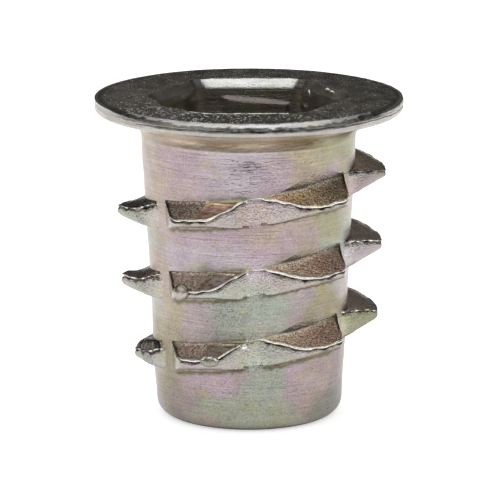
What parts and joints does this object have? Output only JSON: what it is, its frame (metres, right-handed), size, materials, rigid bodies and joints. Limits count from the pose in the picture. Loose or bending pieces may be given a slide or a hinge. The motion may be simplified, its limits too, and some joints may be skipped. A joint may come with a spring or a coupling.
{
  "type": "threaded insert",
  "caption": "Screw-in flanged insert for wood: cast tapered body, broken coarse thread outside, hexagon socket and machine-thread bore.",
  "frame": {"origin": "middle of the narrow end, on the insert's axis", "axes": "+Z along the axis towards the flange; X runs through the thread's side points, +X on the right-hand side"},
  "size_m": [0.018, 0.018, 0.0189],
  "materials": {
    "casting": "satin die-cast zinc alloy with a thin yellow and pink passivated coat"
  },
  "bodies": {
    "root": {"insert": "casting"}
  },
  "joints": []
}
